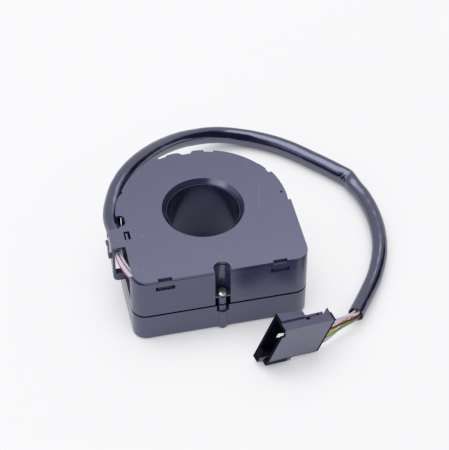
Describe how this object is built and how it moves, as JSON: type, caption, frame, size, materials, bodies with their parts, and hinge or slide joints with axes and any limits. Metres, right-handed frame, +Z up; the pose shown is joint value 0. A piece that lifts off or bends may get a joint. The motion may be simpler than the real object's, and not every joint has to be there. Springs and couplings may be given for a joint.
{
  "type": "steering angle sensor",
  "caption": "Black plastic case around an open bore with a rotor hub that turns with the steering shaft, with a sleeved lead from a side clip to a flat connector",
  "frame": {"origin": "middle of the box round the rigid case, on the surface that it lies on; the bore axis stands 3.35 mm to its right and 1.85 mm behind it", "axes": "+Z up along the bore, -Y the flat front with the screw channel, +X to the right seen from the front"},
  "size_m": [0.1331, 0.1513, 0.0373],
  "materials": {
    "case_plastic": "fine spark-eroded black, slight sheen",
    "hub_plastic": "smooth black, slight sheen",
    "carrier_plastic": "natural moulded",
    "board_laminate": "lacquered green glass laminate",
    "chip_black": "moulded resin",
    "ceramic": "fired ceramic",
    "tin": "tinned metal",
    "spring_metal": "rolled bronze",
    "screw_steel": "zinc plated",
    "sleeve_vinyl": "smooth black vinyl with a soft sheen",
    "plug_plastic": "black, slight sheen",
    "wire_violet": "smooth insulation",
    "wire_pink": "smooth insulation",
    "wire_brown": "smooth insulation",
    "wire_yellow": "smooth insulation",
    "wire_green": "smooth insulation",
    "wire_white": "smooth insulation"
  },
  "bodies": {
    "housing": {"lower_housing": "case_plastic", "upper_housing": "case_plastic", "top_cover": "case_plastic", "housing_screw": "screw_steel", "track_board": "board_laminate", "circuit_board": "board_laminate", "microcontroller": "chip_black", "can_transceiver": "chip_black", "voltage_regulator": "chip_black", "quartz_crystal": "tin", "electrolytic_capacitor": "tin", "chip_resistor_1": "chip_black", "chip_resistor_2": "chip_black", "chip_resistor_3": "chip_black", "chip_resistor_4": "chip_black", "chip_capacitor_1": "ceramic", "chip_capacitor_2": "ceramic", "link_pin_1": "tin", "link_pin_2": "tin", "link_pin_3": "tin", "board_lead_1": "wire_violet", "board_lead_2": "wire_pink", "board_lead_3": "wire_brown", "board_lead_4": "wire_yellow", "board_lead_5": "wire_green", "board_lead_6": "wire_white", "cable_sleeve": "sleeve_vinyl", "connector_wire_1": "wire_violet", "connector_wire_2": "wire_pink", "connector_wire_3": "wire_brown", "connector_wire_4": "wire_yellow", "connector_wire_5": "wire_green", "connector_wire_6": "wire_white", "connector_housing": "plug_plastic", "connector_lock": "plug_plastic", "connector_terminal_1": "tin", "connector_terminal_2": "tin", "connector_terminal_3": "tin", "connector_terminal_4": "tin", "connector_terminal_5": "tin", "connector_terminal_6": "tin"},
    "rotor": {"rotor_hub": "hub_plastic", "wiper_carrier": "carrier_plastic", "wiper_spring_1": "spring_metal", "wiper_spring_2": "spring_metal"}
  },
  "joints": [
    {"name": "rotor_turn", "type": "hinge", "parent": "housing", "child": "rotor", "pos_m": [0.00335, 0.00185, 0.018], "axis": [0, 0, 1], "continuous": true}
  ]
}
